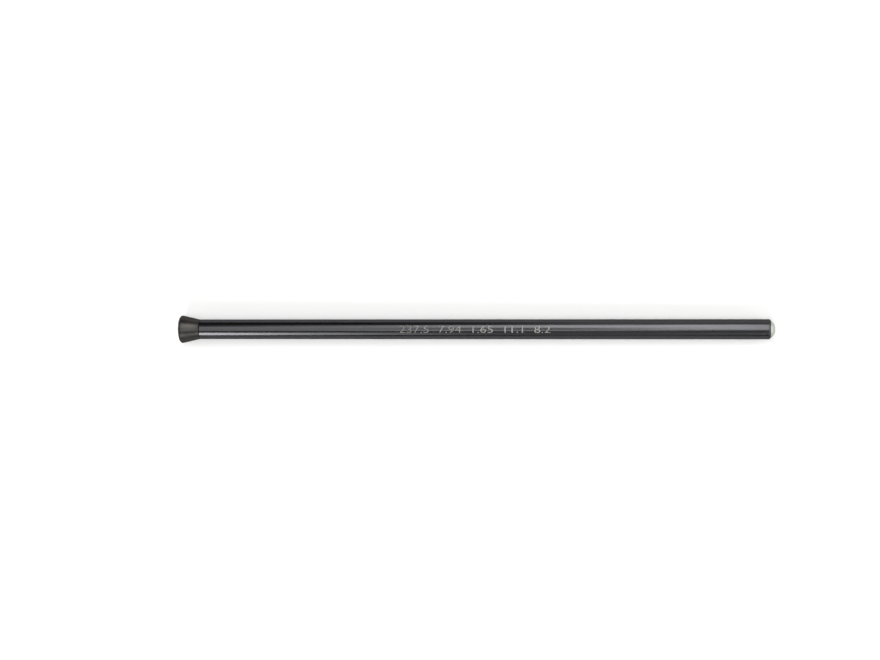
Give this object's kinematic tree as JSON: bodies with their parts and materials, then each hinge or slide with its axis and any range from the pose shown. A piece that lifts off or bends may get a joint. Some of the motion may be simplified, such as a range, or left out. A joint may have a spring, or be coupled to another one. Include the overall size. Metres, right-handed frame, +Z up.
{
  "type": "engine pushrod",
  "caption": "Slender engine pushrod: a black drawn steel tube with a conical cup end that seats a rocker's ball, and a bare ground ball end, drilled through for oil.",
  "frame": {"origin": "on the surface that the rod lies on, under the middle of its length", "axes": "+X along the rod from the cup end to the ball end, +Z up. The axis falls by 0.39 degrees towards the ball end, because the cup is wider than the tube and the rod lies on both."},
  "size_m": [0.2374, 0.011, 0.0111],
  "materials": {
    "black_oxide_tube": "satin black oxide on drawn tube",
    "black_oxide_cup": "matt black oxide on turned and hardened steel",
    "ground_steel": "bare, finely ground"
  },
  "bodies": {
    "root": {"tube": "black_oxide_tube", "cup_end": "black_oxide_cup", "ball_end": "ground_steel"}
  },
  "joints": []
}
